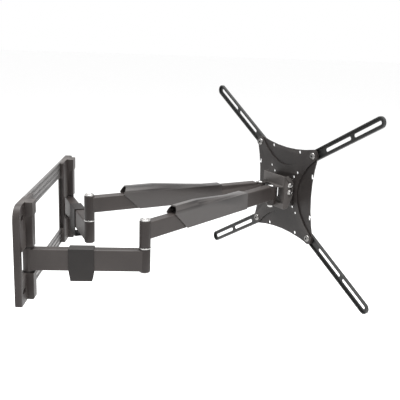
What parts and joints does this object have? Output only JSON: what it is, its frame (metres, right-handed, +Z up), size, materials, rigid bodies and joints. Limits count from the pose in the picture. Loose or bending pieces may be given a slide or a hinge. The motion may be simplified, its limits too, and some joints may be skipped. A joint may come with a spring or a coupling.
{
  "type": "full motion tv wall mount",
  "caption": "Wall mount with two folding arms, a swivelling and tilting head, a pressed plate and slotted arms that swing out to carry a television.",
  "frame": {"origin": "on the wall, at the centre of the back of the wall frame", "axes": "+X along the wall, -Y out into the room, +Z up"},
  "size_m": [0.7272, 0.7235, 0.441],
  "materials": {
    "frame_coat": "charcoal satin powder coat",
    "crossbar_finish": "light grey satin coat",
    "clip_plastic": "black fine-grained moulding",
    "cover_plastic": "charcoal satin moulding",
    "arm_black": "black powder coat",
    "zinc_hardware": "bright zinc plate"
  },
  "bodies": {
    "root": {"wall_module_left": "frame_coat", "column_upper_left": "frame_coat", "column_lower_left": "frame_coat", "wall_pin_left": "zinc_hardware", "wall_bush_lower_left": "clip_plastic", "wall_bush_upper_left": "clip_plastic", "wall_module_right": "frame_coat", "column_upper_right": "frame_coat", "column_lower_right": "frame_coat", "wall_pin_right": "zinc_hardware", "wall_bush_lower_right": "clip_plastic", "wall_bush_upper_right": "clip_plastic", "crossbar_top": "crossbar_finish", "crossbar_bottom": "crossbar_finish"},
    "rear_arm_left": {"rear_root_knuckle_left": "frame_coat", "rear_tube_left": "frame_coat", "rear_elbow_knuckle_left": "frame_coat", "cable_clip_left": "clip_plastic", "elbow_pin_left": "zinc_hardware", "elbow_washer_left": "zinc_hardware"},
    "front_arm_left": {"front_elbow_knuckle_left": "frame_coat", "elbow_cap_left": "zinc_hardware", "front_tube_left": "frame_coat", "front_head_knuckle_left": "frame_coat", "arm_cover_left": "cover_plastic"},
    "rear_arm_right": {"rear_root_knuckle_right": "frame_coat", "rear_tube_right": "frame_coat", "rear_elbow_knuckle_right": "frame_coat", "cable_clip_right": "clip_plastic", "elbow_pin_right": "zinc_hardware", "elbow_washer_right": "zinc_hardware"},
    "front_arm_right": {"front_elbow_knuckle_right": "frame_coat", "elbow_cap_right": "zinc_hardware", "front_tube_right": "frame_coat", "front_head_knuckle_right": "frame_coat", "arm_cover_right": "cover_plastic"},
    "head": {"head_yoke": "frame_coat", "head_pin_left": "zinc_hardware", "head_pin_right": "zinc_hardware", "head_nut_left": "zinc_hardware", "head_nut_right": "zinc_hardware"},
    "tilt_head": {"tilt_bracket": "frame_coat", "vesa_plate": "frame_coat", "tilt_pivot_bolt_left": "zinc_hardware", "tilt_pivot_bolt_right": "zinc_hardware", "tilt_lock_bolt_left": "zinc_hardware", "tilt_lock_bolt_right": "zinc_hardware", "corner_screw_tl": "zinc_hardware", "corner_screw_tr": "zinc_hardware", "corner_screw_bl": "zinc_hardware", "corner_screw_br": "zinc_hardware"},
    "extension_tl": {"extension_arm_tl": "arm_black", "arm_nut_tl": "zinc_hardware"},
    "extension_tr": {"extension_arm_tr": "arm_black", "arm_nut_tr": "zinc_hardware"},
    "extension_bl": {"extension_arm_bl": "arm_black", "arm_nut_bl": "zinc_hardware"},
    "extension_br": {"extension_arm_br": "arm_black", "arm_nut_br": "zinc_hardware"}
  },
  "joints": [
    {"name": "rear_left_swing", "type": "hinge", "parent": "root", "child": "rear_arm_left", "pos_m": [-0.2, -0.014, 0], "axis": [0, 0, 1], "range_deg": [-57, 17]},
    {"name": "elbow_left", "type": "hinge", "parent": "rear_arm_left", "child": "front_arm_left", "pos_m": [-0.18322, -0.24138, 0], "axis": [0, 0, 1], "range_deg": [-12, 39.5]},
    {"name": "head_swivel", "type": "hinge", "parent": "front_arm_left", "child": "head", "pos_m": [0.16057, -0.50953, 0], "axis": [0, 0, 1], "range_deg": [-62.5, 19]},
    {"name": "rear_right_swing", "type": "hinge", "parent": "root", "child": "rear_arm_right", "pos_m": [0.2, -0.014, 0], "axis": [0, 0, 1], "range_deg": [-2.2, 6.4]},
    {"name": "elbow_right", "type": "hinge", "parent": "rear_arm_right", "child": "front_arm_right", "pos_m": [-0.01053, -0.10151, 0], "axis": [0, 0, 1], "range_deg": [-49.2, 15]},
    {"name": "tilt", "type": "hinge", "parent": "head", "child": "tilt_head", "pos_m": [0.20229, -0.53205, 0.042], "axis": [0.829, 0.5592, 0], "range_deg": [-5, 15]},
    {"name": "swing_tl", "type": "hinge", "parent": "tilt_head", "child": "extension_tl", "pos_m": [0.28519, -0.47613, 0.141], "axis": [0.5592, -0.829, 0], "range_deg": [-30, 30]},
    {"name": "swing_tr", "type": "hinge", "parent": "tilt_head", "child": "extension_tr", "pos_m": [0.11939, -0.58797, 0.141], "axis": [0.5592, -0.829, 0], "range_deg": [-30, 30]},
    {"name": "swing_bl", "type": "hinge", "parent": "tilt_head", "child": "extension_bl", "pos_m": [0.28519, -0.47613, -0.059], "axis": [0.5592, -0.829, 0], "range_deg": [-30, 30]},
    {"name": "swing_br", "type": "hinge", "parent": "tilt_head", "child": "extension_br", "pos_m": [0.11939, -0.58797, -0.059], "axis": [0.5592, -0.829, 0], "range_deg": [-30, 30]}
  ],
  "couplings": [
    {"joint": "elbow_left", "follows": "rear_left_swing", "ratio": -0.683},
    {"joint": "head_swivel", "follows": "rear_left_swing", "ratio": 1.086},
    {"joint": "rear_right_swing", "follows": "rear_left_swing", "ratio": -0.105},
    {"joint": "elbow_right", "follows": "rear_left_swing", "ratio": 0.855}
  ]
}
